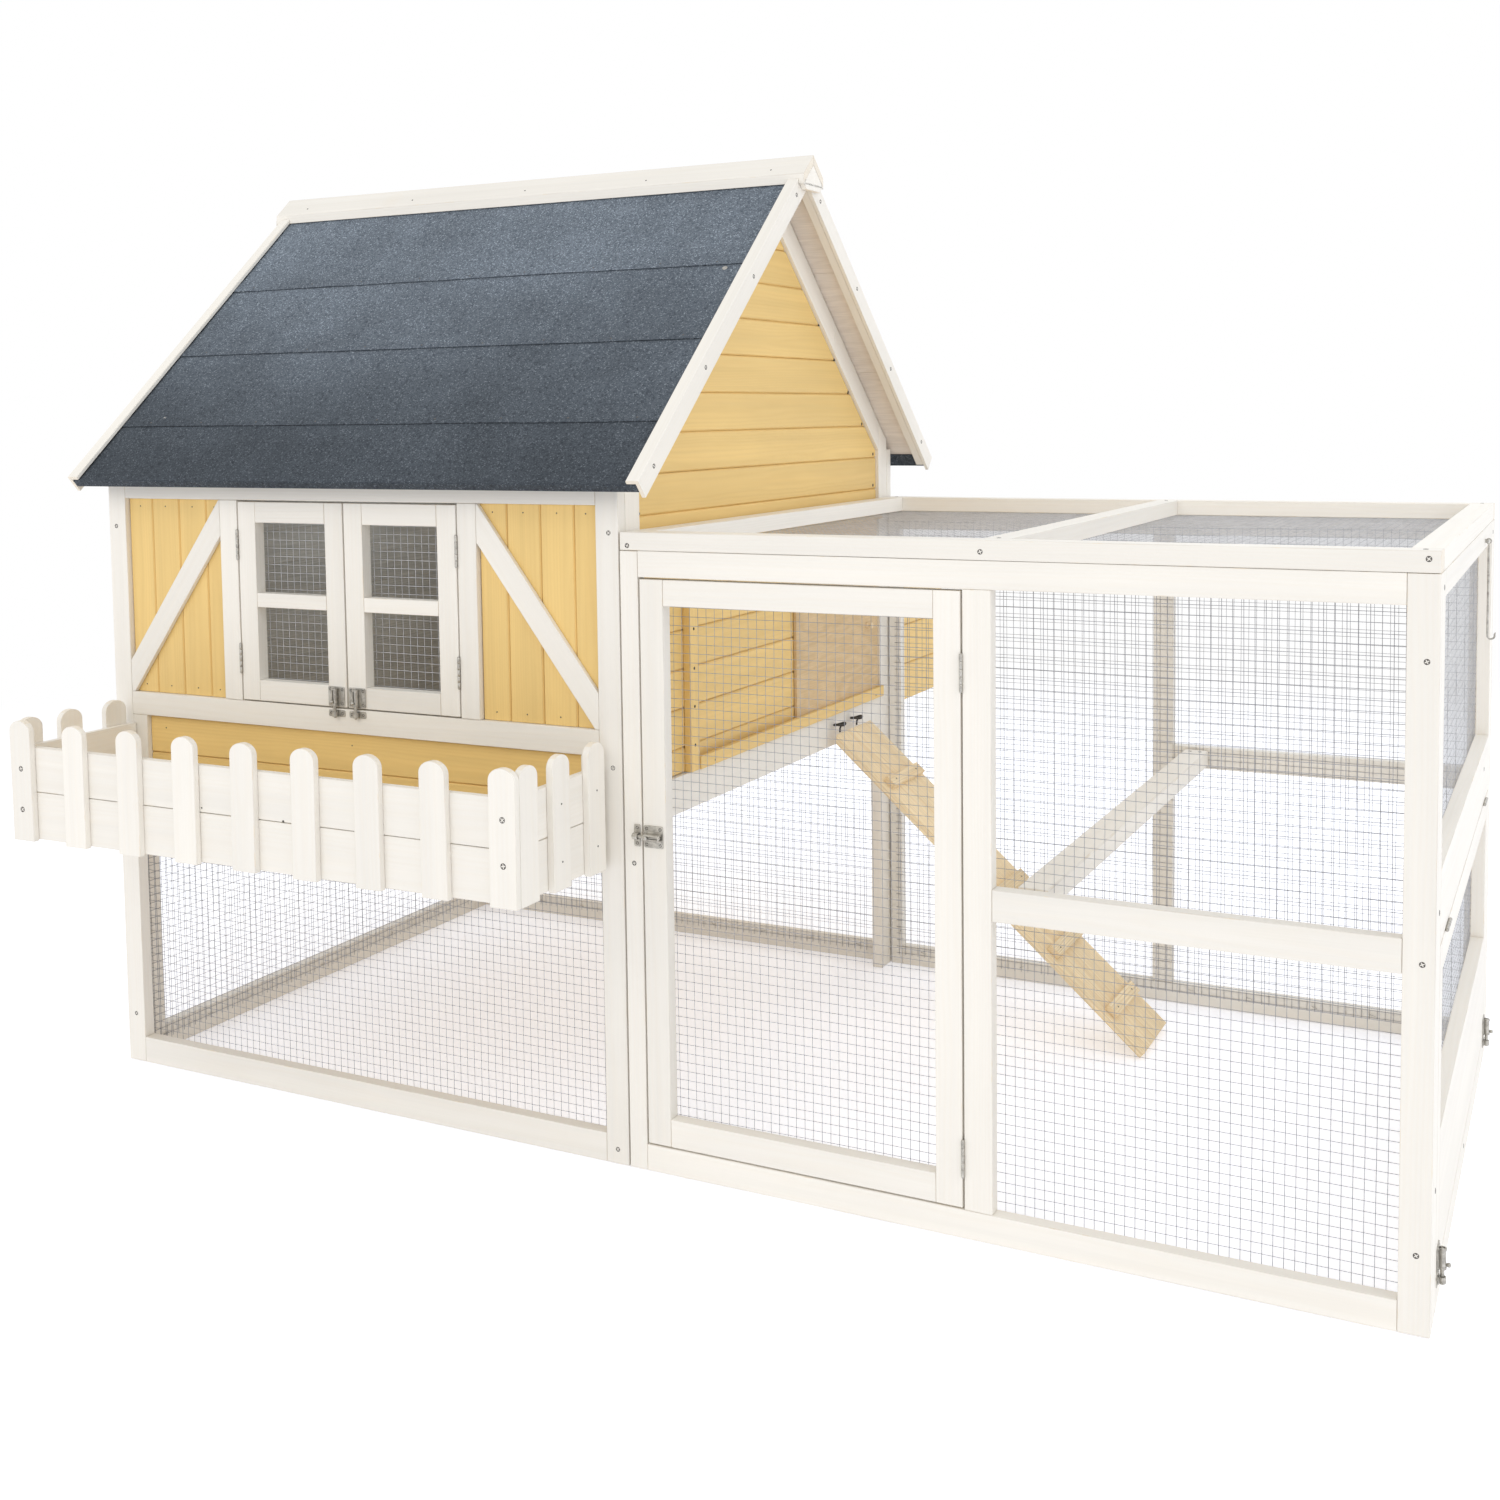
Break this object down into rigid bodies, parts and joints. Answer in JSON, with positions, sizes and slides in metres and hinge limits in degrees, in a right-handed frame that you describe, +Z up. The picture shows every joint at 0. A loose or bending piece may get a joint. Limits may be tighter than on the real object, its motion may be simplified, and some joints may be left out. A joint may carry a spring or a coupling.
{
  "type": "chicken coop",
  "caption": "Gabled timber hen house with picket planter, hinged window doors and rear nest box, joined to a framed wire run with a tall door, an end flap, a perch and a cleated ramp.",
  "frame": {"origin": "centre of the bottom of the overall bounding box, on the ground", "axes": "+X along the front from the hen house to the run, +Y from the front to the back, +Z up"},
  "size_m": [2.0695, 1.55, 1.4629],
  "materials": {
    "cream_paint": "warm white painted softwood, satin",
    "yellow_paint": "yellow painted tongue and groove softwood boards, satin",
    "roof_felt": "dark blue-grey mineral roofing felt on plywood, matte and gritty",
    "pine": "bare sanded pine",
    "plywood": "bare plywood",
    "wire_mesh": "galvanised welded wire netting",
    "zinc": "zinc plated steel"
  },
  "bodies": {
    "coop": {"house_front_frame": "cream_paint", "brace_left": "cream_paint", "brace_right": "cream_paint", "house_left_frame": "cream_paint", "house_right_frame": "cream_paint", "house_rear_frame": "cream_paint", "barge_right_front": "cream_paint", "barge_right_rear": "cream_paint", "barge_left_front": "cream_paint", "barge_left_rear": "cream_paint", "ridge_cap": "cream_paint", "planter_front": "cream_paint", "planter_left": "cream_paint", "planter_right": "cream_paint", "planter_floor": "cream_paint", "run_front_frame": "cream_paint", "run_rear_frame": "cream_paint", "run_end_frame": "cream_paint", "run_roof_frame": "cream_paint", "run_perch": "cream_paint", "siding_front_left": "yellow_paint", "siding_front_right": "yellow_paint", "siding_front_lower": "yellow_paint", "siding_left": "yellow_paint", "siding_right": "yellow_paint", "nest_box": "yellow_paint", "roof_front": "roof_felt", "roof_rear": "roof_felt", "house_floor": "plywood", "run_front_mesh": "wire_mesh", "run_rear_mesh": "wire_mesh", "run_end_mesh": "wire_mesh", "run_roof_mesh": "wire_mesh", "house_base_mesh": "wire_mesh", "run_door_hinge_upper": "zinc", "run_door_hinge_lower": "zinc", "flap_hinge_front": "zinc", "flap_hinge_rear": "zinc"},
    "run_door_leaf": {"run_door": "cream_paint", "run_door_mesh": "wire_mesh", "run_door_bolt_plate": "zinc"},
    "run_door_bolt_rod": {"run_door_bolt": "zinc"},
    "window_left_leaf": {"window_door_left": "cream_paint", "window_mesh_left": "wire_mesh", "window_bolt_left_plate": "zinc"},
    "window_left_bolt_rod": {"window_bolt_left": "zinc"},
    "window_right_leaf": {"window_door_right": "cream_paint", "window_mesh_right": "wire_mesh", "window_bolt_right_plate": "zinc"},
    "window_right_bolt_rod": {"window_bolt_right": "zinc"},
    "end_flap_leaf": {"end_flap": "cream_paint", "end_flap_mesh": "wire_mesh", "flap_bolt_front_plate": "zinc", "flap_bolt_rear_plate": "zinc"},
    "flap_front_bolt_rod": {"flap_bolt_front": "zinc"},
    "flap_rear_bolt_rod": {"flap_bolt_rear": "zinc"},
    "flap_hook_wire": {"flap_hook": "zinc"},
    "pop_door_panel": {"pop_door": "plywood"},
    "ramp_board": {"ramp": "pine"},
    "nest_box_lid_board": {"nest_box_lid": "roof_felt"}
  },
  "joints": [
    {"name": "run_door_swing", "type": "hinge", "parent": "coop", "child": "run_door_leaf", "pos_m": [0.4648, -0.549, 0.43525], "axis": [0, 0, 1], "range_deg": [0, 110]},
    {"name": "run_door_bolt_slide", "type": "slide", "parent": "run_door_leaf", "child": "run_door_bolt_rod", "axis": [1, 0, 0], "range_m": [0, 0.015]},
    {"name": "window_left_swing", "type": "hinge", "parent": "coop", "child": "window_left_leaf", "pos_m": [-0.717, -0.549, 0.7735], "axis": [0, 0, -1], "range_deg": [0, 110]},
    {"name": "window_left_bolt_slide", "type": "slide", "parent": "window_left_leaf", "child": "window_left_bolt_rod", "axis": [0, 0, 1], "range_m": [0, 0.015]},
    {"name": "window_right_swing", "type": "hinge", "parent": "coop", "child": "window_right_leaf", "pos_m": [-0.3015, -0.549, 0.7735], "axis": [0, 0, 1], "range_deg": [0, 110]},
    {"name": "window_right_bolt_slide", "type": "slide", "parent": "window_right_leaf", "child": "window_right_bolt_rod", "axis": [0, 0, 1], "range_m": [0, 0.015]},
    {"name": "end_flap_swing", "type": "hinge", "parent": "coop", "child": "end_flap_leaf", "pos_m": [1.02175, -0.047, 0.43625], "axis": [0, -1, 0], "range_deg": [0, 165]},
    {"name": "flap_front_bolt_slide", "type": "slide", "parent": "end_flap_leaf", "child": "flap_front_bolt_rod", "axis": [0, 0, 1], "range_m": [0, 0.015]},
    {"name": "flap_rear_bolt_slide", "type": "slide", "parent": "end_flap_leaf", "child": "flap_rear_bolt_rod", "axis": [0, 0, 1], "range_m": [0, 0.015]},
    {"name": "flap_hook_swing", "type": "hinge", "parent": "coop", "child": "flap_hook_wire", "pos_m": [1.02495, 0.213, 0.85], "axis": [0, -1, 0], "range_deg": [0, 95]},
    {"name": "pop_door_slide", "type": "slide", "parent": "coop", "child": "pop_door_panel", "axis": [0, -1, 0], "range_m": [0, 0.35]},
    {"name": "ramp_lift", "type": "hinge", "parent": "coop", "child": "ramp_board", "pos_m": [-0.01425, 0.22, 0.492], "axis": [0, -1, 0], "range_deg": [0, 30]},
    {"name": "nest_box_lid_lift", "type": "hinge", "parent": "coop", "child": "nest_box_lid_board", "pos_m": [-0.51025, 0.459, 0.827], "axis": [1, 0, 0], "range_deg": [0, 70]}
  ]
}
